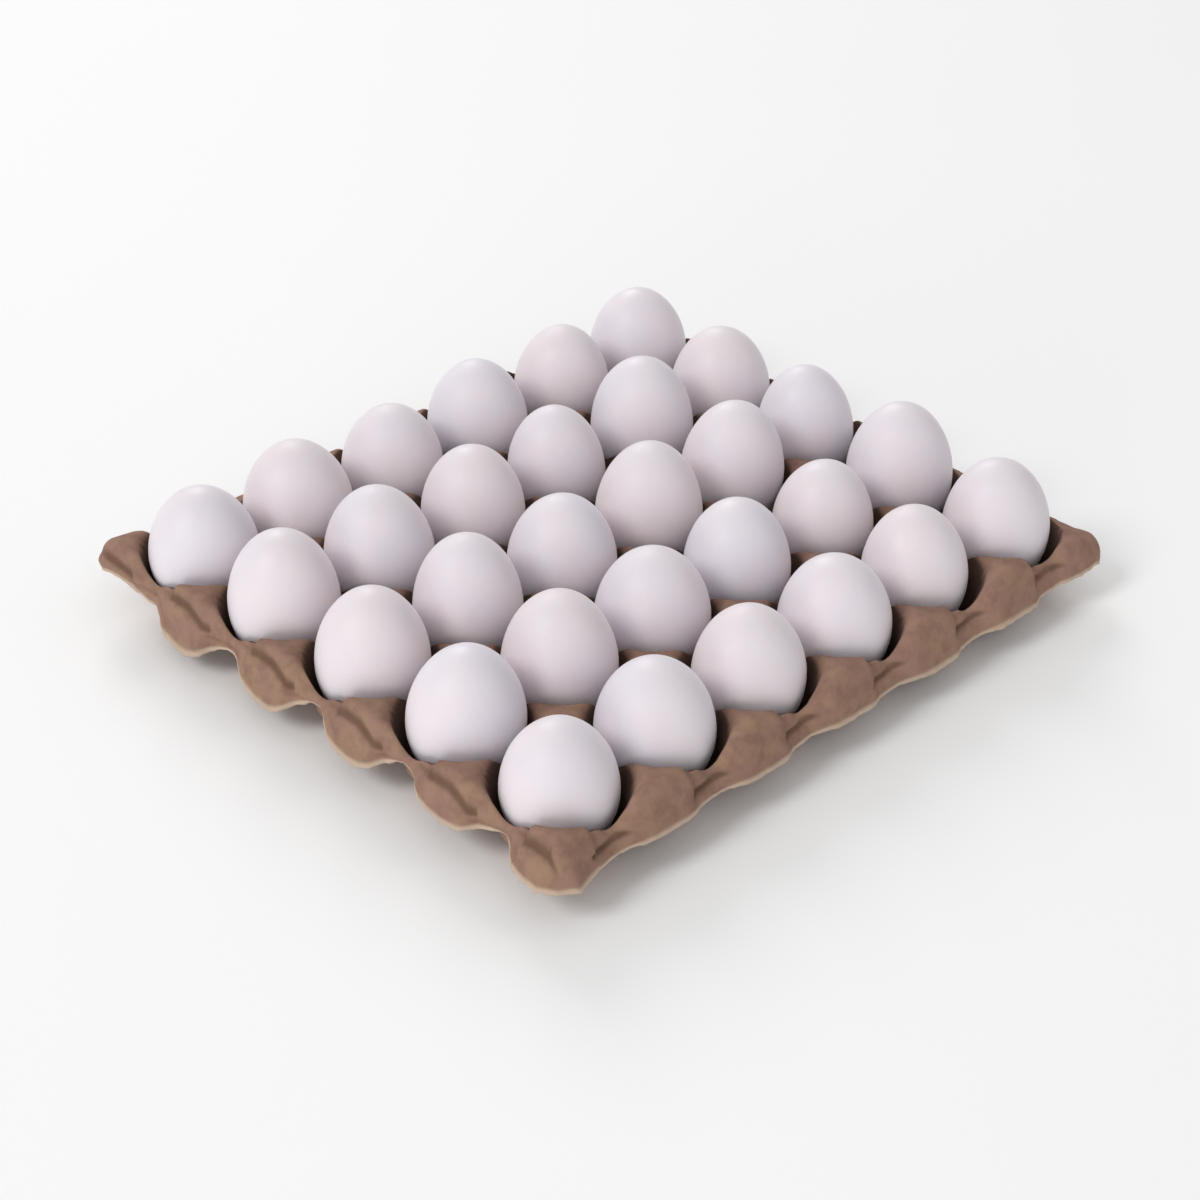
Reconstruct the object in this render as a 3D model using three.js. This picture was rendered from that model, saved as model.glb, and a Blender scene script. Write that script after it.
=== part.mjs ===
// A moulded-pulp egg tray of 5 x 6 cups, filled with 30 white hen's eggs.
// Millimetres, +Z up. X runs along the six-egg side and Y along the five-egg side. The origin
// is on the ground, below the middle of the tray.
import * as THREE from "three";
import { mergeVertices } from "three/addons/utils/BufferGeometryUtils.js";

// The grid of cups.
const CUPS_X = 6;
const CUPS_Y = 5;
const PITCH_X = 49;
const PITCH_Y = 52.3;

// A cup in section: how far from its axis the pulp is, along X, and how high. The wall runs up
// to the low saddle between two cups, and on up to the post that four cups share. Along Y the
// distances are longer, as the pitch is.
const CUP_FACE = [
  [13, 2],
  [20.6, 12],
  [23.5, 21.5],
  [24.5, 24],
  [25.6, 28.8],
  [27.6, 32],
  [34.65, 33.6],
];
const CUP_UNDERSIDE = [
  [14.5, 0],
  [22.1, 11],
  [24.15, 19],
  [24.5, 21.8],
  [27.6, 28.2],
  [29.2, 30.4],
  [34.65, 31.8],
];
const FACE_LIP = 27.6; // where the wall turns over onto a post
const FACE_LIP_MARGIN = 1; // half the width of a saddle's rounded top
const UNDERSIDE_LIP = 29.2;
const UNDERSIDE_LIP_MARGIN = 0.35;

// The apron outside the outer line of posts: over a shoulder, and down to a wavy rim. The
// distances are outward from the line of posts.
const PULP = 1.8; // thickness
const APRON_X = {
  post: { shoulder: 4.6, shoulderZ: 32.5, rim: 9.2 },
  saddle: { shoulder: 1.5, shoulderZ: 23, rim: 3 },
};
const APRON_Y = {
  post: { shoulder: 4.6, shoulderZ: 32.5, rim: 9.4 },
  saddle: { shoulder: 3, shoulderZ: 22.6, rim: 6.4 },
};
const BULGE_FULL = 0.6; // how far from a saddle, as a share of the way to a post, the bulge is full
const SHOULDER_FULL = 0.75; // the same for the shoulder's height
const SHOULDER_DROP = 3.5; // how far at least the shoulder lies below its post's top
const CORNER_SHOULDER = 5;
const CORNER_CUT = 0.84; // the corner's own reach, as a share of its reach beside it

// The four sides, anticlockwise from the -X -Y corner, as uneven as pulp trays are: how far the
// first and the last corner reach, how high the rim's edge is at each post and saddle in turn,
// and how high each post of the outer line is.
const SIDES = [
  {
    reaches: [11.5, 9.6],
    rim: [15.8, 16.6, 16, 16.6, 14.8, 15.8, 14.6, 14.4, 12.4, 13.4, 13.2, 14.6, 16.8],
    tops: [33.6, 33.6, 33.6, 33.6, 33.6, 33.6, 26.5],
  },
  {
    reaches: [9.6, 11.5],
    rim: [16.8, 21, 12, 21.6, 11.8, 21, 12.2, 21.4, 11.6, 20.6, 16],
    tops: [26.5, 27, 27.5, 27.5, 27.5, 27.5],
  },
  {
    reaches: [11.5, 11.5],
    rim: [16, 16.4, 15.6, 16.8, 15.2, 16, 15.8, 16.6, 15, 16.2, 15.4, 17.8, 22.6],
    tops: [27.5, 27.5, 27.5, 27.5, 27.5, 26, 33.6],
  },
  {
    reaches: [8.4, 11.5],
    rim: [22.6, 16, 8.4, 19.4, 9.4, 22, 11.8, 22, 14.6, 20.6, 15.8],
    tops: [33.6, 33.6, 33.6, 33.6, 33.6, 33.6],
  },
];
const POST_TOP = 33.6; // of every inner post
const DIP_WIDTH = 18; // how far inwards a lower outer post is felt

// The vertices along one side of a cup, in half pitches from its middle.
const SIDE_STEPS = [-1, -0.4, 0, 0.4];

// Each egg: length, breadth and lean in degrees towards the +X -Y corner. One row of six for
// each line of cups along X, from the -Y side.
const EGGS = [
  [[53, 44, 0], [55, 45.5, -1.5], [55, 44, 0], [55, 45, -1], [56, 43, -3], [57, 44, 0]],
  [[58, 45, 3], [59, 45, 0], [56, 46, 1], [57, 43.5, -1], [54, 42, 2], [61.5, 45, 0]],
  [[58, 44.5, 1], [60, 43.5, 0], [56.5, 44.5, 2], [60.5, 44.5, 2], [60, 44, 3], [58, 42, -2]],
  [[59.5, 44.5, -1], [58, 45, -2], [56.5, 43.5, 0], [55.5, 41.5, -3], [60, 44.5, 0], [56, 44.5, 0]],
  [[55.5, 45, -1], [56.5, 46, -2], [54, 43.5, 1], [56.5, 44, 0], [55, 42.5, 2], [55.5, 44, 0]],
];
const EGG_GAP = 0.4; // between an egg and the floor of its cup
const EGG_BLUNTNESS = 2; // how far an egg's widest ring lies below its middle
const EGG_RINGS = 8;
const EGG_SIDES = 14;

const PULP_MATERIAL = { color: 0x9c7a60, roughness: 0.95, metalness: 0 };
const SHELL_MATERIAL = { color: 0xe9e2e3, roughness: 0.55, metalness: 0 };

// The height of a section at a distance, between its points.
function heightAt(section, distance) {
  const next = section.findIndex(([d]) => d >= distance);
  if (next === 0) return section[0][1];
  if (next < 0) return section.at(-1)[1];
  const [d0, z0] = section[next - 1];
  const [d1, z1] = section[next];
  return THREE.MathUtils.mapLinear(distance, d0, d1, z0, z1);
}

// A value between those of a list, whose places are 0, 1, 2 and so on.
function listAt(values, place) {
  const low = THREE.MathUtils.clamp(Math.floor(place), 0, values.length - 2);
  const share = THREE.MathUtils.clamp(place - low, 0, 1);
  return THREE.MathUtils.lerp(values[low], values[low + 1], share);
}

// How many cups lie along a side and across it, and its quarter turn from the -Y side.
function sideFrame(side) {
  const turned = side % 2 === 1;
  return {
    along: turned ? CUPS_Y : CUPS_X,
    across: turned ? CUPS_X : CUPS_Y,
    apron: turned ? APRON_X : APRON_Y,
    acrossPitch: turned ? PITCH_X : PITCH_Y,
    turn: (side * Math.PI) / 2,
  };
}

// The most that the pulp may rise at a point, which is less near the outer line's lower posts.
function ceilingAt(x, y) {
  const halfPitches = new THREE.Vector2((2 * x) / PITCH_X, (2 * y) / PITCH_Y);
  const ceilings = SIDES.map(({ tops }, side) => {
    const { along, across, acrossPitch, turn } = sideFrame(side);
    const local = halfPitches.clone().rotateAround(new THREE.Vector2(), -turn);
    const inward = ((local.y + across) * acrossPitch) / 2;
    const top = listAt(tops, (local.x + along) / 2);
    return THREE.MathUtils.lerp(top, POST_TOP, THREE.MathUtils.smoothstep(inward, 0, DIP_WIDTH));
  });
  return Math.min(...ceilings);
}

// A closed surface that is collected triangle by triangle.
class Surface {
  corners = [];

  triangle(a, b, c) {
    this.corners.push(...a, ...b, ...c);
  }

  // The band between two rows of points of equal length, each row closed if asked.
  band(inner, outer, closed) {
    const steps = closed ? inner.length : inner.length - 1;
    for (let i = 0; i < steps; i++) {
      const j = (i + 1) % inner.length;
      this.triangle(inner[i], outer[i], outer[j]);
      this.triangle(inner[i], outer[j], inner[j]);
    }
  }

  geometry() {
    const positions = new THREE.Float32BufferAttribute(this.corners, 3);
    return mergeVertices(new THREE.BufferGeometry().setAttribute("position", positions), 1e-3);
  }
}

// The points round the square that holds one cup, each side from -1 to 1, anticlockwise.
function squareLoop() {
  return [0, 1, 2, 3].flatMap((side) =>
    SIDE_STEPS.map((s) =>
      new THREE.Vector2(s, -1).rotateAround(new THREE.Vector2(), (side * Math.PI) / 2),
    ),
  );
}

// One face of one cup: its floor, and its wall up to the lines it shares with its neighbours.
function addCup(surface, centre, section, lip, lipMargin, upward) {
  const half = PITCH_X / 2;
  const cover = upward ? 0 : PULP;
  const point = (direction, distance) => {
    const along = direction.clone().setLength(distance);
    const x = centre.x + along.x;
    const y = centre.y + (along.y * PITCH_Y) / PITCH_X;
    return [x, y, Math.min(heightAt(section, distance), ceilingAt(x, y) - cover)];
  };
  const loop = upward ? squareLoop() : squareLoop().reverse();
  const edgeOf = (direction) => half * direction.length();
  const rings = [
    loop.map((d) => point(d, section[0][0])),
    loop.map((d) => point(d, section[1][0])),
    loop.map((d) => point(d, Math.min(lip, edgeOf(d) - lipMargin))),
    loop.map((d) => point(d, edgeOf(d))),
  ];
  const middle = [centre.x, centre.y, section[0][1]];
  rings[0].forEach((a, i) => surface.triangle(middle, a, rings[0][(i + 1) % rings[0].length]));
  rings.slice(1).forEach((outer, i) => surface.band(rings[i], outer, true));
}

// The apron's section at one place along a side, where share is 1 at a post and 0 at a saddle.
function apronSection({ post, saddle }, share, reach, rimZ) {
  const bulge = THREE.MathUtils.smoothstep(share, 0, BULGE_FULL);
  const swell = THREE.MathUtils.smoothstep(share, 0, SHOULDER_FULL);
  return {
    shoulder: THREE.MathUtils.lerp(saddle.shoulder, post.shoulder, bulge),
    shoulderZ: THREE.MathUtils.lerp(saddle.shoulderZ, post.shoulderZ, swell),
    rim: THREE.MathUtils.lerp(saddle.rim, reach ?? post.rim, bulge),
    rimZ,
  };
}

// The places round the outer line of posts, anticlockwise, each with its outward direction.
function apronColumns() {
  const origin = new THREE.Vector2();
  return SIDES.flatMap(({ reaches, rim }, side) => {
    const { along, across, apron, turn } = sideFrame(side);
    const column = (s, out, step, section) => {
      const v = new THREE.Vector2(s, -across).rotateAround(origin, turn);
      const base = new THREE.Vector2((v.x * PITCH_X) / 2, (v.y * PITCH_Y) / 2);
      return { base, out: out.rotateAround(origin, turn), step, section };
    };
    const diagonal = new THREE.Vector2(-1, -1).normalize();
    const before = SIDES.at(side - 1).reaches[1];
    const corner = apronSection(apron, 1, ((before + reaches[0]) / 2) * CORNER_CUT, rim[0]);
    corner.shoulder = CORNER_SHOULDER;
    const columns = [column(-along, diagonal, 1, corner)];
    for (let vertex = 0; vertex <= along * SIDE_STEPS.length; vertex++) {
      const cup = Math.min(Math.floor(vertex / SIDE_STEPS.length), along - 1);
      const step = vertex === along * SIDE_STEPS.length ? 1 : SIDE_STEPS[vertex % SIDE_STEPS.length];
      const s = 2 * cup + 1 - along + step;
      const first = cup === 0 && step < 0;
      const last = cup === along - 1 && step > 0;
      const reach = first ? reaches[0] : last ? reaches[1] : null;
      const swell = THREE.MathUtils.smoothstep(Math.abs(step), 0, 1);
      const rimZ = THREE.MathUtils.lerp(rim[2 * cup + 1], rim[2 * cup + (step > 0 ? 2 : 0)], swell);
      const section = apronSection(apron, Math.abs(step), reach, rimZ);
      columns.push(column(s, new THREE.Vector2(0, -1), step, section));
    }
    return columns;
  });
}

// The rows of the apron's outer face and of its inner face, from the posts out to the rim.
function apronRows() {
  const outer = [[], [], []];
  const inner = [[], [], []];
  for (const { base, out, step, section } of apronColumns()) {
    const edge = (PITCH_X / 2) * Math.hypot(1, step);
    const ceiling = ceilingAt(base.x, base.y);
    const profile = [
      new THREE.Vector2(0, Math.min(heightAt(CUP_FACE, edge), ceiling)),
      new THREE.Vector2(section.shoulder, Math.min(section.shoulderZ, ceiling - SHOULDER_DROP)),
      new THREE.Vector2(section.rim, section.rimZ),
    ];
    const place = ({ x, y }) => [base.x + out.x * x, base.y + out.y * x, y];
    profile.forEach((p, row) => {
      const fall = profile[Math.min(row + 1, 2)].clone().sub(profile[row ? row - 1 : 0]);
      const depth = new THREE.Vector2(fall.y, -fall.x).setLength(PULP);
      const under = new THREE.Vector2(0, Math.min(heightAt(CUP_UNDERSIDE, edge), ceiling - PULP));
      outer[row].push(place(p));
      inner[row].push(place(row ? p.clone().add(depth) : under));
    });
  }
  return { outer, inner };
}

function trayGeometry() {
  const surface = new Surface();
  for (const centre of cupCentres()) {
    addCup(surface, centre, CUP_FACE, FACE_LIP, FACE_LIP_MARGIN, true);
    addCup(surface, centre, CUP_UNDERSIDE, UNDERSIDE_LIP, UNDERSIDE_LIP_MARGIN, false);
  }
  const { outer, inner } = apronRows();
  surface.band(outer[0], outer[1], true);
  surface.band(outer[1], outer[2], true);
  surface.band(outer[2], inner[2], true);
  surface.band(inner[2], inner[1], true);
  surface.band(inner[1], inner[0], true);
  return surface.geometry();
}

// The cups' centres, row by row from the -Y side, each row from -X.
function cupCentres() {
  const centres = [];
  for (let row = 0; row < CUPS_Y; row++) {
    for (let column = 0; column < CUPS_X; column++) {
      const x = (column - (CUPS_X - 1) / 2) * PITCH_X;
      const y = (row - (CUPS_Y - 1) / 2) * PITCH_Y;
      centres.push(new THREE.Vector2(x, y));
    }
  }
  return centres;
}

// An egg standing on its blunt end at the origin, turned from the usual egg curve.
function eggGeometry(length, breadth) {
  const w = EGG_BLUNTNESS;
  const profile = [];
  for (let i = 0; i <= EGG_RINGS; i++) {
    const x = (-length / 2) * Math.cos((i * Math.PI) / EGG_RINGS);
    const share = (length ** 2 - 4 * x ** 2) / (length ** 2 + 8 * w * x + 4 * w ** 2);
    profile.push(new THREE.Vector2((breadth / 2) * Math.sqrt(Math.max(0, share)), x + length / 2));
  }
  profile[0].x = 0;
  profile[EGG_RINGS].x = 0;
  return new THREE.LatheGeometry(profile, EGG_SIDES).rotateX(Math.PI / 2);
}

function addPiece(group, name, geometry, material) {
  const mesh = new THREE.Mesh(geometry, new THREE.MeshStandardMaterial(material));
  mesh.name = name;
  group.add(mesh);
  return mesh;
}

const carton = new THREE.Group();
addPiece(carton, "tray", trayGeometry(), PULP_MATERIAL);

const leanAxis = new THREE.Vector3(1, 1, 0).normalize();
cupCentres().forEach((centre, i) => {
  const row = Math.floor(i / CUPS_X);
  const column = i % CUPS_X;
  const [length, breadth, lean] = EGGS[row][column];
  const name = `egg_${row + 1}_${column + 1}`;
  const egg = addPiece(carton, name, eggGeometry(length, breadth), SHELL_MATERIAL);
  egg.position.set(centre.x, centre.y, CUP_FACE[0][1] + EGG_GAP);
  egg.setRotationFromAxisAngle(leanAxis, THREE.MathUtils.degToRad(lean));
});

export default carton;
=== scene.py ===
"""A moulded-pulp egg tray filled with white hen's eggs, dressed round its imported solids.

The tray is one shell of pulp, rebuilt fine from the same cup and apron sections as the solid, with
its rounded crests, creases and raw edge. Each egg is a smooth turned shell, placed by its solid.
Sections are in millimetres and become metres where a mesh is made. X runs along the six-egg side
and Y along the five-egg side.
"""
import math

import bmesh
import bpy
import numpy as np
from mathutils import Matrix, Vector, noise


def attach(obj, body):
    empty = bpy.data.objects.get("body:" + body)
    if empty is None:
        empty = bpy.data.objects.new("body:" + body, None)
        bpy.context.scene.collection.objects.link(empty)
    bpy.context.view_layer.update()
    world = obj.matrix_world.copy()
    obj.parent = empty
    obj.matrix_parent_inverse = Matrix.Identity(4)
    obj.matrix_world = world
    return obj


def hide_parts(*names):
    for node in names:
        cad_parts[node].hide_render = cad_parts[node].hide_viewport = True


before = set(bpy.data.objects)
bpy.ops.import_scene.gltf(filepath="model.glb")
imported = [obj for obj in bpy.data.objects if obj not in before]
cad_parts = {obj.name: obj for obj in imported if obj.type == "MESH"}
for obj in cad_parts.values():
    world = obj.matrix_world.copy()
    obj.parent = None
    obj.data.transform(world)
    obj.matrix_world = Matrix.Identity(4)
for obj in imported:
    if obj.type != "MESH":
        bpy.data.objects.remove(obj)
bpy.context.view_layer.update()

MM = 0.001

# The grid of cups.
CUPS_X = 6
CUPS_Y = 5
PITCH_X = 49.0
PITCH_Y = 52.3
HALF = PITCH_X / 2

# A cup in section: how far from its axis the pulp is, along X, and how high.
CUP_FACE = (
    (10.5, 2.0), (13.6, 3.0), (20.6, 12.0), (23.2, 21.0), (24.1, 23.8),
    (25.2, 27.8), (26.6, 30.9), (29.0, 32.6), (33.8, 33.6),
)
CUP_UNDERSIDE = (
    (14.5, 0.0), (22.1, 11.0), (24.15, 19.0), (24.5, 21.8),
    (27.6, 28.2), (29.2, 30.4), (34.65, 31.8),
)
INNERMOST = 0.01  # the radius of the first ring of points round a cup's axis
CREST_SOFTNESS = 0.5  # rounds the crests where cups meet

PULP = 1.8  # thickness

# The apron outside the outer line of posts: how far out its shoulder is, how high that is, and
# how far out the rim is.
APRON_X = {"post": (4.6, 32.5, 9.2), "saddle": (1.5, 23.0, 3.0)}
APRON_Y = {"post": (4.6, 32.5, 9.4), "saddle": (3.0, 22.6, 6.4)}
BULGE_FULL = 0.6  # how far from a saddle, as a share of the way to a post, the bulge is full
SHOULDER_FULL = 0.75  # the same for the shoulder's height
SHOULDER_DROP = 3.5  # how far at least the shoulder lies below its post's top
POST_EDGE = (0.42, 0.64)  # where a post's face breaks off beside the saddle that comes after it
POST_EDGE_SHARE = 0.7  # of the bulge that goes there
CORNER_SHOULDER = 5.0
CORNER_CUT = 0.84  # the corner's own reach, as a share of its reach beside it
CORNER_COLUMNS = 12
CORNER_FALL = 1.7  # how fast the bulge falls off beside a corner's ridge

# How the apron's section curves between the crest, the shoulder and the rim.
CREST_RISE = 0.3  # how far it rises before it turns down
SKIRT_FROM_SHOULDER = 1.4  # where the skirt's own turn is: shares of the shoulder's distance
SKIRT_FROM_RIM = 0.1  # and of the rim's
SKIRT_DROP = 0.32  # and how far down, as a share of the height from the shoulder to the rim

# The four sides, anticlockwise from the -X -Y corner: how far the first and the last corner
# reach, the rim's height at each post and saddle in turn, how high each post is, and whether
# its flank breaks off after it (1), before it (-1), or not at all.
SIDES = (
    {
        "reaches": (11.5, 9.6),
        "rim": (15.8, 16.6, 16, 16.6, 14.8, 15.8, 14.6, 14.4, 12.4, 13.4, 13.2, 14.6, 16.8),
        "tops": (33.6, 33.6, 33.6, 33.6, 33.6, 33.6, 26.5),
        "cut_flank": 1,
    },
    {
        "reaches": (9.6, 11.5),
        "rim": (16.8, 21, 12, 21.6, 11.8, 21, 12.2, 21.4, 11.6, 20.6, 16),
        "tops": (26.5, 27, 27.5, 27.5, 27.5, 27.5),
        "cut_flank": 0,
    },
    {
        "reaches": (11.5, 11.5),
        "rim": (16, 16.4, 15.6, 16.8, 15.2, 16, 15.8, 16.6, 15, 16.2, 15.4, 17.8, 22.6),
        "tops": (27.5, 27.5, 27.5, 27.5, 27.5, 26, 33.6),
        "cut_flank": 0,
    },
    {
        "reaches": (8.4, 11.5),
        "rim": (22.6, 16, 8.4, 19.4, 9.4, 22, 11.8, 22, 14.6, 20.6, 15.8),
        "tops": (33.6, 33.6, 33.6, 33.6, 33.6, 33.6),
        "cut_flank": -1,
    },
)
POST_TOP = 33.6
DIP_WIDTH = 18.0  # how far inwards a lower outer post is felt
DIP_SOFTNESS = 0.3
FLANK_CUT = 6.5  # how much lower a flank is where it breaks off
FLANK_CUT_FROM = (0.36, 0.56)  # in half pitches from the post
FLANK_CUT_WIDTH = 9.0
FLANK_CUT_MARGIN = 0.5  # half pitches beside a corner without a cut

# The fold where a post's dome meets the skirt below it: it climbs from the saddle before the
# post, passes over its shoulder and comes down again on the far side, where it ends bluntly.
FOLD_DEPTHS = (0, 1.7, 0, 1.7)  # on each side
FOLD_PATH = ((-1.0, 24.0), (-0.62, 26.6), (-0.3, 28.0), (0.0, 28.0), (0.25, 26.0), (0.6, 22.2))
FOLD_START = (-1.05, -0.4)  # where it starts and is full, in half pitches past the post
FOLD_END = (0.48, 0.56)
FOLD_ABOVE = 3.2  # how wide it is above its deepest line, and below
FOLD_BELOW = 1.1

# The ledge across the saddle, below the edge where the post's face breaks off.
LEDGE_DEPTHS = (1.8, 0.8, 1.4, 0.8)
LEDGE_HEIGHTS = (21.6, 20.6, 21.6, 20.6)
LEDGE_START = (0.34, 0.5)  # in half pitches past the post
LEDGE_END = (-0.95, -0.55)  # before the next
LEDGE_ABOVE = 1.5
LEDGE_BELOW = 0.8
GROOVE_POWER = 1.7  # how sharply a fold or ledge is bounded
MOST_RELIEF = 0.34  # of the distance from the line of posts
RELIEF_SAG = 0.3  # how far a pressed place also sinks
INNER_RELIEF = 0.7  # how much of the relief shows on the inner face

# The raw edge: where its paler band starts, as a share of the way down the apron, and its
# rounded section as shares of the thickness, across the pulp and beyond it.
EDGE_FROM = 0.86
EDGE_SECTION = ((0, 0), (0.15, 0.16), (0.5, 0.24), (0.85, 0.16), (1, 0))

# Mesh resolution.
SIDE_STEPS = 24  # along one side of a cup
APRON_SPLIT = 2  # columns of the apron for each of those steps
FACE_CIRCLES = (7, 12, 15.6, 19, 21.4, 22.8)
FACE_RINGS_TO_EDGE = 7
UNDERSIDE_CIRCLES = (7, 14.5, 18.5, 22.1)
UNDERSIDE_RINGS_TO_EDGE = 2
APRON_ROWS = 24
APRON_INNER_ROWS = 5
SLOPE_SPAN = 0.02  # the share of a section over which its slope is taken
WELD = 0.02

CUP_SHADE = (25.0, 26.6)  # how far from its axis a cup's wall fades out of its painted shade deep down

# How uneven the pulp is: the size of its waves, and their height.
WAVES = ((34.0, 0.5), (11.0, 0.14), (4.0, 0.06))
RIM_WAVE = (3.2, 0.45)
WAVE_SEED = 5.0
NOISE_SEED = 11  # the noise module shifts its patterns by the clock unless it is seeded

# Eggs.
EGG_BLUNTNESS = 2.0
EGG_RINGS = 40
EGG_SIDES = 56
EGG_WAVES = ((26.0, 0.16), (9.0, 0.05))
EGG_SEED = 17
TONE_STEP = 0.618  # spreads the eggs' tones evenly

# The camera: its place, what it looks at, and its lens on a 36 mm sensor.
CAMERA_AT = (-0.62397, -0.64777, 0.6143)
CAMERA_TARGET = (-0.0317, -0.0310, 0.0289)
CAMERA_LENS = 79.0
SENSOR = 36.0

# The studio: each light's name, place, size and power, all aimed at the tray.
LIGHTS = (
    ("key", (-3.9, 0.7, 3.8), 2.2, 99),
    ("back", (2.6, 4.4, 2.9), 2.4, 96),
    ("front", (-2.2, -4.0, 4.2), 2.4, 22),
    ("low", (-4.8, -2.2, 0.8), 2.0, 38),
)
SKY_STRENGTH = 0.52
FLOOR_HALF = 6.0


def srgb(red, green, blue):
    """A colour given as 0 to 255 in sRGB, as linear light."""
    channels = []
    for value in (red, green, blue):
        share = value / 255
        channels.append(share / 12.92 if share <= 0.04045 else ((share + 0.055) / 1.055) ** 2.4)
    return (*channels, 1.0)


def smoothstep(low, high, value):
    share = np.clip((value - low) / (high - low), 0, 1)
    return share * share * (3 - 2 * share)


def monotone_curve(points):
    """A smooth curve through points, flat at both ends and with no overshoot, as a function."""
    x, y = np.array(points, float).T
    slopes = np.diff(y) / np.diff(x)
    tangents = np.zeros(len(x))
    tangents[1:-1] = 2 * slopes[:-1] * slopes[1:] / (slopes[:-1] + slopes[1:])

    def at(distance):
        i = np.clip(np.searchsorted(x, distance) - 1, 0, len(x) - 2)
        width = x[i + 1] - x[i]
        t = np.clip((distance - x[i]) / width, 0, 1)
        start = (2 * t**3 - 3 * t**2 + 1) * y[i] + (t**3 - 2 * t**2 + t) * width * tangents[i]
        end = (3 * t**2 - 2 * t**3) * y[i + 1] + (t**3 - t**2) * width * tangents[i + 1]
        return start + end

    return at


face_at = monotone_curve(CUP_FACE)


def ceiling_at(x, y):
    """The most that the pulp may rise at a point, less near the outer line's lower posts."""
    ceilings = []
    for side, shape in enumerate(SIDES):
        along, across = (CUPS_Y, CUPS_X) if side % 2 else (CUPS_X, CUPS_Y)
        local_x, local_y = turned((2 * x / PITCH_X, 2 * y / PITCH_Y), -side % 4)
        inward = (local_y + across) * (PITCH_X if side % 2 else PITCH_Y) / 2
        top = np.interp((local_x + along) / 2, np.arange(along + 1), shape["tops"])
        past_post = ((local_x + along + 1) % 2 - 1) * shape["cut_flank"]
        cut = FLANK_CUT * smoothstep(*FLANK_CUT_FROM, past_post)
        cut = cut * (np.abs(local_x) < along - FLANK_CUT_MARGIN)
        cut = cut * (1 - smoothstep(0, FLANK_CUT_WIDTH, inward))
        ceilings.append(top + (POST_TOP - top) * smoothstep(0, DIP_WIDTH, inward) - cut)
    return np.min(ceilings, axis=0)


def face_height(distance, x, y):
    """The tray's upper face, rounded off under the ceiling."""
    height = face_at(distance)
    over = (height - ceiling_at(x, y)) / DIP_SOFTNESS
    return height - DIP_SOFTNESS * np.logaddexp(0, over)


def underside_height(distance, x, y):
    height = np.interp(distance, *np.array(CUP_UNDERSIDE).T)
    return np.minimum(height, ceiling_at(x, y) - PULP)


def crest_distance(u, v):
    """The distance to the nearest cup's axis, rounded where two or four cups are as near. u and
    v are measured from one cup's axis, along X and along the squeezed Y."""
    u, v = np.abs(u), np.abs(v)
    far_u, far_v = PITCH_X - u, PITCH_X - v
    distances = np.array([np.hypot(a, b) for a in (u, far_u) for b in (v, far_v)])
    return -CREST_SOFTNESS * np.log(np.exp(-distances / CREST_SOFTNESS).sum(0))


class Shell:
    """Points and faces, collected patch by patch, with one value per point for the raw edge, one
    for the painted shade of the creases and one for the painted shade deep in the cups."""

    ATTRIBUTES = ("edge", "crease", "depth")

    def __init__(self):
        self.points = []
        self.values = []
        self.faces = []
        self.count = 0

    def patch(self, points, **attributes):
        """A grid of points [rows, columns, 3], closed to a ring, and facing up or out where rows
        lead outward and columns run anticlockwise. Gives the points' numbers."""
        rows, columns = points.shape[:2]
        index = self.count + np.arange(rows * columns).reshape(rows, columns)
        after = np.roll(index, -1, axis=1)
        quads = np.stack([index[:-1], index[1:], after[1:], after[:-1]], axis=-1)
        self.faces.extend(quads.reshape(-1, 4).tolist())
        self.points.append(points.reshape(-1, 3))
        zeros = np.zeros((rows, columns))
        values = np.stack([attributes.get(name, zeros) for name in self.ATTRIBUTES], axis=-1)
        self.values.append(values.reshape(-1, len(self.ATTRIBUTES)))
        self.count += rows * columns
        return index

    def stitch(self, coarse, fine, owners, outward):
        """Joins a closed coarse row of points to a closed fine row. owners gives each fine
        point's place in the coarse row."""
        for here in range(len(fine)):
            following = (here + 1) % len(fine)
            owner, owner_after = coarse[owners[here]], coarse[owners[following]]
            triangles = [(owner, fine[here], fine[following])]
            if owner != owner_after:
                triangles.append((owner, fine[following], owner_after))
            self.faces.extend([list(t if outward else t[::-1]) for t in triangles])

    def object(self, name):
        points = np.concatenate(self.points)
        values = np.concatenate(self.values)
        mesh = bpy.data.meshes.new(name)
        mesh.from_pydata((points * MM).tolist(), [], self.faces)
        for column, attribute in enumerate(self.ATTRIBUTES):
            layer = mesh.attributes.new(attribute, "FLOAT", "POINT")
            layer.data.foreach_set("value", values[:, column].astype(np.float32))
        welded = bmesh.new()
        welded.from_mesh(mesh)
        bmesh.ops.remove_doubles(welded, verts=welded.verts, dist=WELD * MM)
        bmesh.ops.dissolve_degenerate(welded, edges=welded.edges, dist=WELD * MM / 2)
        welded.to_mesh(mesh)
        welded.free()
        mesh.shade_smooth()
        piece = bpy.data.objects.new(name, mesh)
        bpy.context.scene.collection.objects.link(piece)
        return piece


def square_loop():
    """Points round the square of one cup in half pitches, anticlockwise from the -X -Y corner."""
    steps = np.arange(SIDE_STEPS) / SIDE_STEPS * 2 - 1
    ones = np.ones(SIDE_STEPS)
    sides = [(steps, -ones), (ones, steps), (-steps, ones), (-ones, -steps)]
    return np.concatenate([np.stack(side, -1) for side in sides])


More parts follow.
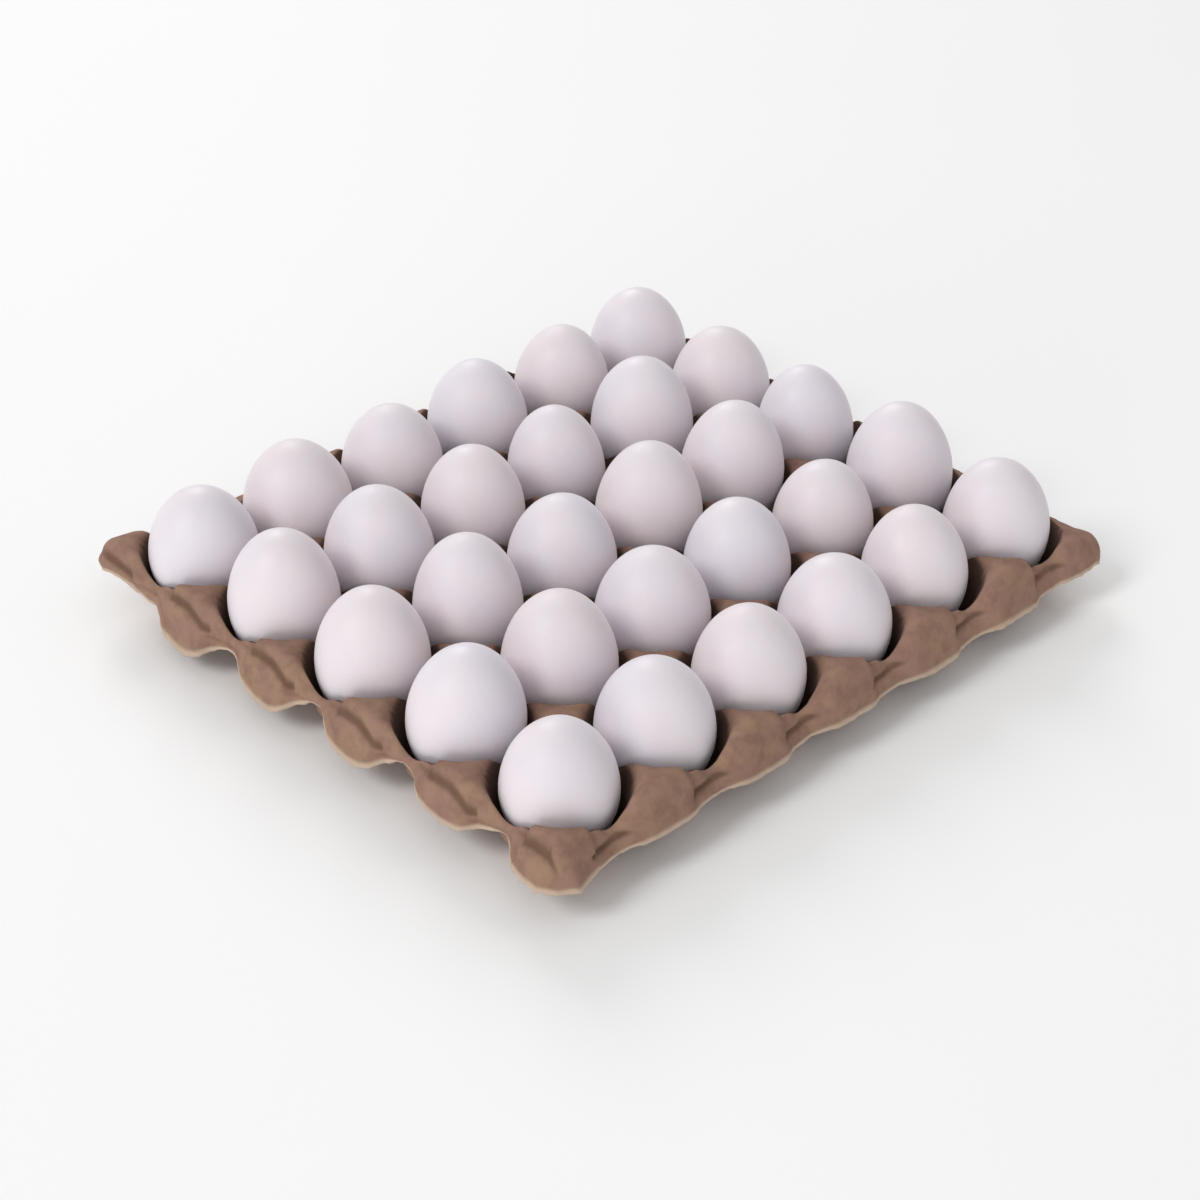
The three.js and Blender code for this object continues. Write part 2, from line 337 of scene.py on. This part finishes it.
def cup_points(centre, circles, rings_to_edge):
    """A grid of points over one cup, from its middle out to the square it fills, as offsets u and
    v from its axis, along X and along the squeezed Y, and as places x and y."""
    loop = square_loop()
    reach = np.hypot(*loop.T)
    directions = loop / reach[:, None]
    shares = np.arange(1, rings_to_edge + 1) / rings_to_edge
    edge = HALF * reach
    radii = [np.full(len(loop), float(circle)) for circle in (INNERMOST, *circles)]
    radii += [circles[-1] + share * (edge - circles[-1]) for share in shares]
    radii = np.array(radii)
    u = radii * directions[:, 0]
    v = radii * directions[:, 1]
    return u, v, centre[0] + u, centre[1] + v * PITCH_Y / PITCH_X


def cup_centres():
    for row in range(CUPS_Y):
        for column in range(CUPS_X):
            yield (column - (CUPS_X - 1) / 2) * PITCH_X, (row - (CUPS_Y - 1) / 2) * PITCH_Y


def turned(point, quarter_turns):
    x, y = point
    for _ in range(quarter_turns):
        x, y = -y, x
    return x, y


class Apron:
    """The columns of the apron all round, anticlockwise, as arrays."""

    def __init__(self):
        self.rows = []
        start = 0
        for side in range(len(SIDES)):
            self.add_corner(side, start)
            start = self.add_side(side, start)
        names = ("base", "out", "share", "past_post", "sections", "depths", "side", "owner")
        for name, values in zip(names, zip(*self.rows)):
            setattr(self, name, np.array(values, float))
        self.side = self.side.astype(int)
        self.owner = self.owner.astype(int) % start
        self.x = self.base[:, 0] * HALF
        self.y = self.base[:, 1] * PITCH_Y / 2

    def add_corner(self, side, start):
        """The fan round a corner: a facet cut across it, between the two sides' own ridges."""
        along, across = (CUPS_Y, CUPS_X) if side % 2 else (CUPS_X, CUPS_Y)
        base = turned((-along, -across), side)
        before, reach = SIDES[side - 1]["reaches"][1], SIDES[side]["reaches"][0]
        half_cut = CORNER_CUT * math.sqrt(0.5)
        shoulder, shoulder_z, _ = APRON_X["post"]
        fold, fold_after = FOLD_DEPTHS[side - 1], FOLD_DEPTHS[side]
        for step in range(1, CORNER_COLUMNS):
            turn = step / CORNER_COLUMNS
            past_post = turn if fold > fold_after else turn - 1
            depths = (fold + turn * (fold_after - fold), 0.0)
            angle = turn * math.pi / 2
            out = turned((-math.cos(angle), -math.sin(angle)), side)
            from_ridge = math.pi / 4 - abs(angle - math.pi / 4)
            # The facet runs straight from the side's own ridge to the middle of the corner.
            along_share, across_share = math.cos(from_ridge), math.sin(from_ridge)
            share = half_cut / (along_share * half_cut + across_share * (1 - half_cut))
            bulge = shoulder + (CORNER_SHOULDER - shoulder) * from_ridge / (math.pi / 4)
            rim = (before + turn * (reach - before)) * share
            section = (bulge, shoulder_z, rim, SIDES[side]["rim"][0])
            self.rows.append((base, out, 1.0, past_post, section, depths, side, start))

    def add_side(self, side, start):
        along, across = (CUPS_Y, CUPS_X) if side % 2 else (CUPS_X, CUPS_Y)
        apron = APRON_X if side % 2 else APRON_Y
        shape = SIDES[side]
        steps = SIDE_STEPS * APRON_SPLIT
        for step in range(along * steps + 1):
            cup = min(step // steps, along - 1)
            from_saddle = 2 * step / steps - 2 * cup - 1
            share = abs(from_saddle)
            first = cup == 0 and from_saddle < 0
            last = cup == along - 1 and from_saddle > 0
            reach = shape["reaches"][0] if first else shape["reaches"][1] if last else None
            bulge = share**CORNER_FALL if first else self.bulge(from_saddle)
            rims = shape["rim"]
            post_rim = rims[2 * cup + (2 if from_saddle > 0 else 0)]
            saddle_rim = rims[2 * cup + 1]
            rim_z = saddle_rim + smoothstep(0, 1, share) * (post_rim - saddle_rim)
            section = self.section(apron, share, bulge, reach, rim_z)
            base = turned((2 * step / steps - along, -across), side)
            past_post = from_saddle + 1 if from_saddle < 0 else from_saddle - 1
            depths = (FOLD_DEPTHS[side], LEDGE_DEPTHS[side])
            owner = start + step // APRON_SPLIT
            out = turned((0, -1), side)
            self.rows.append((base, out, share, past_post, section, depths, side, owner))
        return start + along * SIDE_STEPS

    @staticmethod
    def bulge(from_saddle):
        """How far the apron stands out: it breaks off past a post, and swells towards the
        next."""
        share = abs(from_saddle)
        smooth = smoothstep(0, BULGE_FULL, share)
        if from_saddle >= 0:
            return smooth
        return smooth + POST_EDGE_SHARE * (smoothstep(*POST_EDGE, share) - smooth)

    @staticmethod
    def section(apron, share, bulge, reach, rim_z):
        """The shoulder, its height, the rim and its height. share is 1 at a post and 0 at a
        saddle."""
        post_shoulder, post_z, post_rim = apron["post"]
        shoulder, shoulder_z, rim = apron["saddle"]
        swell = smoothstep(0, SHOULDER_FULL, share)
        return (
            shoulder + bulge * (post_shoulder - shoulder),
            shoulder_z + swell * (post_z - shoulder_z),
            rim + bulge * ((reach or post_rim) - rim),
            rim_z,
        )

    def relief(self, distance, height):
        """How far the folds and ledges reach inwards at each point."""
        past = self.past_post
        fold_depth, ledge_depth = self.depths.T
        fold_at = np.interp(past, *np.array(FOLD_PATH).T)
        fold_depth = fold_depth * smoothstep(*FOLD_START, past)
        fold_depth = fold_depth * (1 - smoothstep(*FOLD_END, past))
        fold = fold_depth * groove(height - fold_at, FOLD_ABOVE, FOLD_BELOW)

        ledge_at = np.array(LEDGE_HEIGHTS)[self.side]
        after = smoothstep(*LEDGE_START, past) * (past > 0)
        before = (1 - smoothstep(*LEDGE_END, past)) * (past <= 0)
        ledge_depth = ledge_depth * (after + before)
        ledge = ledge_depth * groove(height - ledge_at, LEDGE_ABOVE, LEDGE_BELOW)
        return np.minimum(np.maximum(fold, ledge), MOST_RELIEF * np.maximum(distance, 0))

    def profile(self, steps, relief=1.0):
        """Distance and height of the outer face at each step of each column, and how deep its folds
        and ledges are, which also sets their painted shade: a cubic curve from the crest over the
        shoulder and the skirt to the rim."""
        shoulder, shoulder_z, rim, rim_z = self.sections.T
        crest = crest_distance(np.full(len(self.x), HALF), HALF * self.share)
        top = face_height(crest, self.x, self.y)
        shoulder_z = np.minimum(shoulder_z, ceiling_at(self.x, self.y) - SHOULDER_DROP)
        skirt = shoulder * SKIRT_FROM_SHOULDER + SKIRT_FROM_RIM * rim
        skirt_z = shoulder_z - SKIRT_DROP * (shoulder_z - rim_z)
        t = steps[:, None]
        weights = ((1 - t) ** 3, 3 * (1 - t) ** 2 * t, 3 * (1 - t) * t**2, t**3)
        distances = (0, shoulder, skirt, rim)
        heights = (top, top + CREST_RISE, skirt_z, rim_z)
        distance = sum(weight * value for weight, value in zip(weights, distances))
        height = sum(weight * value for weight, value in zip(weights, heights))
        depth = self.relief(distance, height)
        return distance - relief * depth, height - RELIEF_SAG * relief * depth, depth

    def place(self, distance, height):
        x = self.x + self.out[:, 0] * distance
        y = self.y + self.out[:, 1] * distance
        return np.stack([x, y, height], axis=-1)

    def coarse_row(self, height):
        """The line of posts itself, with one point for each owner."""
        first = np.unique(self.owner, return_index=True)[1]
        return np.stack([self.x[first], self.y[first], height[first]], axis=-1)[None]


def groove(offset, above, below):
    """The shape of a groove across its deepest line: a slope above it, and a lip below."""
    return np.exp(-np.abs(offset / np.where(offset > 0, above, below)) ** GROOVE_POWER)


def add_apron(shell):
    """The apron's outer face, its raw edge and its inner face, joined to the cups."""
    apron = Apron()
    steps = np.linspace(0, 1, APRON_ROWS + 1)
    # The third value is how deep the folds and ledges are, which also sets their painted shade.
    distance, height, crease = apron.profile(steps)
    edge = np.repeat(smoothstep(EDGE_FROM, 1.0, steps)[:, None], len(apron.share), axis=1)
    top = shell.patch(apron.coarse_row(height[0]))
    outer = shell.patch(apron.place(distance, height)[1:], edge=edge[1:], crease=crease[1:])
    shell.stitch(top[0], outer[0], apron.owner, outward=True)

    fall = np.stack([distance[-1] - distance[-3], height[-1] - height[-3]])
    fall /= np.hypot(*fall)
    rounded = []
    for across, beyond in EDGE_SECTION:
        outward = distance[-1] + PULP * (across * fall[1] + beyond * fall[0])
        upward = height[-1] + PULP * (-across * fall[0] + beyond * fall[1])
        rounded.append(apron.place(outward, upward))
    shell.patch(np.array(rounded), edge=np.ones((len(rounded), len(apron.share))))
    rim_inside = distance[-1] + PULP * fall[1], height[-1] - PULP * fall[0]

    steps = np.linspace(1, 0, APRON_INNER_ROWS + 1)
    before = apron.profile(np.clip(steps - SLOPE_SPAN, 0, 1), INNER_RELIEF)
    after = apron.profile(np.clip(steps + SLOPE_SPAN, 0, 1), INNER_RELIEF)
    distance, height, _ = apron.profile(steps, INNER_RELIEF)
    run, drop = after[0] - before[0], after[1] - before[1]
    length = np.hypot(run, drop)
    inner_distance = distance + PULP * drop / length
    inner_height = height - PULP * run / length
    inner_distance[0], inner_height[0] = rim_inside
    inner = shell.patch(apron.place(inner_distance, inner_height)[:-1])
    under = underside_height(HALF * np.hypot(1, apron.share), apron.x, apron.y)
    bottom = shell.patch(apron.coarse_row(under))
    shell.stitch(bottom[0], inner[-1], apron.owner, outward=False)


def waves(points, sizes, seed):
    """A soft random offset for each point, in millimetres, the same for points that coincide."""
    offsets = np.zeros_like(points)
    for size, height in sizes:
        shift = Vector((seed, 2.3 * seed, size))
        for i, point in enumerate(points):
            offsets[i] += height * np.array(noise.noise_vector(Vector(point) / size + shift))
    return offsets


def make_uneven(piece, sizes, seed):
    """Moves a piece's points by soft waves, with a ragged raw edge, and never below the ground."""
    mesh = piece.data
    points = np.zeros(len(mesh.vertices) * 3)
    mesh.vertices.foreach_get("co", points)
    points = points.reshape(-1, 3) / MM
    offsets = waves(points, sizes, seed)
    edge = mesh.attributes.get("edge")
    if edge:
        on_edge = np.zeros(len(points))
        edge.data.foreach_get("value", on_edge)
        offsets += on_edge[:, None] * waves(points, (RIM_WAVE,), seed + 1)
    moved = points + offsets
    moved[:, 2] = np.maximum(moved[:, 2], 0)
    mesh.vertices.foreach_set("co", (moved * MM).ravel())
    mesh.update()


def build_tray():
    shell = Shell()
    for centre in cup_centres():
        u, v, x, y = cup_points(centre, FACE_CIRCLES, FACE_RINGS_TO_EDGE)
        distance = crest_distance(u, v)
        height = face_height(distance, x, y)
        # Painted shade: how far down the cup's wall a point lies, to darken it there.
        depth = 1 - smoothstep(*CUP_SHADE, distance)
        shell.patch(np.stack([x, y, height], axis=-1), depth=depth)
        u, v, x, y = cup_points(centre, UNDERSIDE_CIRCLES, UNDERSIDE_RINGS_TO_EDGE)
        height = underside_height(np.hypot(u, v), x, y)
        shell.patch(np.stack([x, y, height], axis=-1)[:, ::-1])
    add_apron(shell)
    piece = shell.object("pulp_tray")
    make_uneven(piece, WAVES, WAVE_SEED)
    return piece


def build_egg(name, node, seed):
    """A smooth egg in place of its faceted solid, whose lowest and highest points are its
    poles."""
    corners = np.array([vertex.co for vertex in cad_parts[node].data.vertices]) / MM
    foot = corners[corners[:, 2].argmin()]
    tip = corners[corners[:, 2].argmax()]
    length = np.linalg.norm(tip - foot)
    axis = (tip - foot) / length
    beside = corners - foot
    along = beside @ axis
    away = np.linalg.norm(beside - along[:, None] * axis, axis=1)
    w = EGG_BLUNTNESS
    middle = away[np.abs(along - length / 2).argmin()]
    breadth = 2 * middle * math.sqrt(1 + 4 * w**2 / length**2)

    angles = np.linspace(0, math.pi, EGG_RINGS + 1)
    x = -length / 2 * np.cos(angles)
    square = (length**2 - 4 * x**2) / (length**2 + 8 * w * x + 4 * w**2)
    radius = breadth / 2 * np.sqrt(np.maximum(0, square))
    turns = np.arange(EGG_SIDES) / EGG_SIDES * 2 * math.pi
    ring = np.stack([np.cos(turns), np.sin(turns), 0 * turns], axis=-1)
    local = radius[:, None, None] * ring + np.array([0, 0, 1]) * (x + length / 2)[:, None, None]
    turn = np.array(Vector((0, 0, 1)).rotation_difference(Vector(axis)).to_matrix())
    shell = Shell()
    shell.patch(foot + local @ turn.T)
    piece = shell.object(name)
    make_uneven(piece, EGG_WAVES, seed)
    tone = (seed * TONE_STEP) % 1
    layer = piece.data.attributes.new("tone", "FLOAT", "POINT")
    layer.data.foreach_set("value", np.full(len(piece.data.vertices), tone, np.float32))
    return piece


class Nodes:
    """Adds nodes to a new material's tree, and links them."""

    def __init__(self, name):
        self.material = bpy.data.materials.new(name)
        self.material.use_nodes = True
        self.tree = self.material.node_tree
        self.shader = self.tree.nodes["Principled BSDF"]

    def link(self, source, target):
        self.tree.links.new(source, target)

    def coordinates(self):
        return self.tree.nodes.new("ShaderNodeTexCoord").outputs["Object"]

    def attribute(self, name):
        node = self.tree.nodes.new("ShaderNodeAttribute")
        node.attribute_name = name
        return node.outputs["Fac"]

    def noise(self, scale, detail, roughness, distortion=0.0):
        node = self.tree.nodes.new("ShaderNodeTexNoise")
        node.inputs["Scale"].default_value = scale
        node.inputs["Detail"].default_value = detail
        node.inputs["Roughness"].default_value = roughness
        node.inputs["Distortion"].default_value = distortion
        self.link(self.coordinates(), node.inputs["Vector"])
        return node.outputs["Fac"]

    def cells(self, scale):
        node = self.tree.nodes.new("ShaderNodeTexVoronoi")
        node.inputs["Scale"].default_value = scale
        self.link(self.coordinates(), node.inputs["Vector"])
        return node.outputs["Distance"]

    def spread(self, source, low, high, to_low=0.0, to_high=1.0):
        """Spreads the values from low to high over the values from to_low to to_high."""
        node = self.tree.nodes.new("ShaderNodeMapRange")
        node.interpolation_type = "SMOOTHSTEP"
        limits = {"From Min": low, "From Max": high, "To Min": to_low, "To Max": to_high}
        for socket, value in limits.items():
            node.inputs[socket].default_value = value
        self.link(source, node.inputs["Value"])
        return node.outputs["Result"]

    def mix(self, share, first, second):
        node = self.tree.nodes.new("ShaderNodeMix")
        node.data_type = "RGBA"
        self.link(share, node.inputs["Factor"])
        for socket, value in ((node.inputs[6], first), (node.inputs[7], second)):
            if isinstance(value, tuple):
                socket.default_value = value
            else:
                self.link(value, socket)
        return node.outputs[2]

    def bump(self, height, strength, distance, normal=None):
        node = self.tree.nodes.new("ShaderNodeBump")
        node.inputs["Strength"].default_value = strength
        node.inputs["Distance"].default_value = distance
        self.link(height, node.inputs["Height"])
        if normal:
            self.link(normal, node.inputs["Normal"])
        return node.outputs["Normal"]


def pulp_material():
    """Grey-brown recycled pulp: patches of pinker and yellower stock, pale fibres and dark specks,
    a felted surface, a paler raw edge, and painted shade in its creases and deep in its cups."""
    n = Nodes("moulded_pulp")
    pink, yellow, grey = srgb(155, 121, 108), srgb(158, 127, 105), srgb(138, 107, 93)
    pale_fibre, dark_speck = srgb(196, 170, 146), srgb(88, 66, 54)
    # The first two colours are painted shade for the creases and for the depths of the cups; the
    # raw edge is the pulp's own paler colour.
    crease_brown, cup_shade_brown, raw_edge = srgb(96, 70, 54), srgb(50, 32, 24), srgb(206, 186, 164)

    patch_noise = n.noise(scale=55, detail=3, roughness=0.55, distortion=0.6)
    colour = n.mix(n.spread(patch_noise, low=0.36, high=0.64), pink, yellow)
    cloud_noise = n.noise(scale=150, detail=5, roughness=0.6)
    colour = n.mix(n.spread(cloud_noise, low=0.35, high=0.75), colour, grey)
    fibre_noise = n.noise(scale=900, detail=4, roughness=0.7, distortion=2.5)
    colour = n.mix(n.spread(fibre_noise, low=0.6, high=0.72, to_high=0.35), colour, pale_fibre)
    specks = n.spread(n.cells(scale=420), low=0.10, high=0.02, to_high=0.5)
    colour = n.mix(specks, colour, dark_speck)
    # Painted shade: the folds and ledges darkened as deep as they are pressed in.
    creases = n.spread(n.attribute("crease"), low=0.2, high=1.6, to_high=0.7)
    colour = n.mix(creases, colour, crease_brown)
    # Painted shade: each cup darkened from just below its crest all the way down.
    depths = n.spread(n.attribute("depth"), low=0.0, high=1.0, to_high=0.8)
    colour = n.mix(depths, colour, cup_shade_brown)
    edges = n.spread(n.attribute("edge"), low=0.2, high=1.0, to_high=0.8)
    colour = n.mix(edges, colour, raw_edge)
    n.link(colour, n.shader.inputs["Base Color"])

    n.shader.inputs["Roughness"].default_value = 0.93
    n.shader.inputs["Specular IOR Level"].default_value = 0.25
    felt_noise = n.noise(scale=420, detail=6, roughness=0.65)
    felt = n.bump(felt_noise, strength=0.55, distance=0.0006)
    fine_noise = n.noise(scale=1700, detail=4, roughness=0.7, distortion=1.5)
    fine = n.bump(fine_noise, strength=0.5, distance=0.0002, normal=felt)
    n.link(fine, n.shader.inputs["Normal"])
    return n.material


def shell_material():
    """White eggshell: a faint warm and cool mottle that differs from egg to egg, and fine pores."""
    n = Nodes("white_eggshell")
    warm, cool = srgb(233, 225, 230), srgb(229, 224, 232)
    blush, grain_grey = srgb(234, 222, 224), srgb(214, 206, 210)

    mottle_noise = n.noise(scale=38, detail=3, roughness=0.5)
    colour = n.mix(n.spread(mottle_noise, low=0.35, high=0.65), warm, cool)
    tones = n.spread(n.attribute("tone"), low=0.0, high=1.0, to_high=0.5)
    colour = n.mix(tones, colour, blush)
    grain_noise = n.noise(scale=700, detail=5, roughness=0.6)
    grain = n.spread(grain_noise, low=0.55, high=0.8, to_high=0.25)
    colour = n.mix(grain, colour, grain_grey)
    n.link(colour, n.shader.inputs["Base Color"])

    gloss_noise = n.noise(scale=120, detail=3, roughness=0.5)
    roughness = n.spread(gloss_noise, low=0.3, high=0.7, to_low=0.42, to_high=0.56)
    n.link(roughness, n.shader.inputs["Roughness"])
    n.shader.inputs["Specular IOR Level"].default_value = 0.4
    n.shader.inputs["Subsurface Weight"].default_value = 0.2
    n.shader.inputs["Subsurface Radius"].default_value = (1.0, 0.75, 0.6)
    n.shader.inputs["Subsurface Scale"].default_value = 0.003
    n.shader.inputs["Sheen Weight"].default_value = 0.2
    n.shader.inputs["Sheen Roughness"].default_value = 0.35
    pores = n.spread(n.cells(scale=1300), low=0.05, high=0.3)
    pitted = n.bump(pores, strength=0.12, distance=0.0001)
    fine_noise = n.noise(scale=600, detail=4, roughness=0.6)
    fine = n.bump(fine_noise, strength=0.12, distance=0.00025, normal=pitted)
    n.link(fine, n.shader.inputs["Normal"])
    return n.material


def floor_material():
    n = Nodes("pale_floor")
    cloud_noise = n.noise(scale=3, detail=2, roughness=0.5)
    colour = n.mix(cloud_noise, srgb(252, 252, 252), srgb(254, 254, 254))
    n.link(colour, n.shader.inputs["Base Color"])
    n.shader.inputs["Roughness"].default_value = 0.7
    return n.material


def add_camera():
    camera = bpy.data.objects.new("camera", bpy.data.cameras.new("camera"))
    camera.location = CAMERA_AT
    towards = Vector(CAMERA_TARGET) - Vector(CAMERA_AT)
    camera.rotation_euler = towards.to_track_quat("-Z", "Y").to_euler()
    camera.data.lens = CAMERA_LENS
    camera.data.sensor_width = SENSOR
    bpy.context.scene.collection.objects.link(camera)
    bpy.context.scene.camera = camera


def add_area_light(name, place, size, energy):
    light = bpy.data.lights.new(name, "AREA")
    light.shape = "DISK"
    light.size = size
    light.energy = energy
    lamp = bpy.data.objects.new(name, light)
    lamp.location = place
    lamp.rotation_euler = (-Vector(place)).to_track_quat("-Z", "Y").to_euler()
    bpy.context.scene.collection.objects.link(lamp)


def add_studio():
    """A pale floor, and soft light: most from above on the left, some from all other sides."""
    mesh = bpy.data.meshes.new("floor")
    corners = [(x * FLOOR_HALF, y * FLOOR_HALF, 0) for x, y in ((-1, -1), (1, -1), (1, 1), (-1, 1))]
    mesh.from_pydata(corners, [], [(0, 1, 2, 3)])
    floor = bpy.data.objects.new("floor", mesh)
    bpy.context.scene.collection.objects.link(floor)
    mesh.materials.append(floor_material())

    world = bpy.data.worlds.new("studio")
    world.use_nodes = True
    sky = world.node_tree.nodes["Background"]
    sky.inputs["Color"].default_value = (1, 1, 1, 1)
    sky.inputs["Strength"].default_value = SKY_STRENGTH
    bpy.context.scene.world = world
    for light in LIGHTS:
        add_area_light(*light)
    bpy.context.scene.view_settings.view_transform = "Standard"


def main():
    noise.seed_set(NOISE_SEED)
    add_camera()
    add_studio()
    pulp = pulp_material()
    shell = shell_material()

    tray = build_tray()
    tray.data.materials.append(pulp)
    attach(tray, "root")
    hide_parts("tray")

    eggs = sorted(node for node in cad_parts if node.startswith("egg_"))
    for number, node in enumerate(eggs):
        egg = build_egg(node.replace("egg", "shell"), node, EGG_SEED + number)
        egg.data.materials.append(shell)
        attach(egg, "root")
        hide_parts(node)


main()
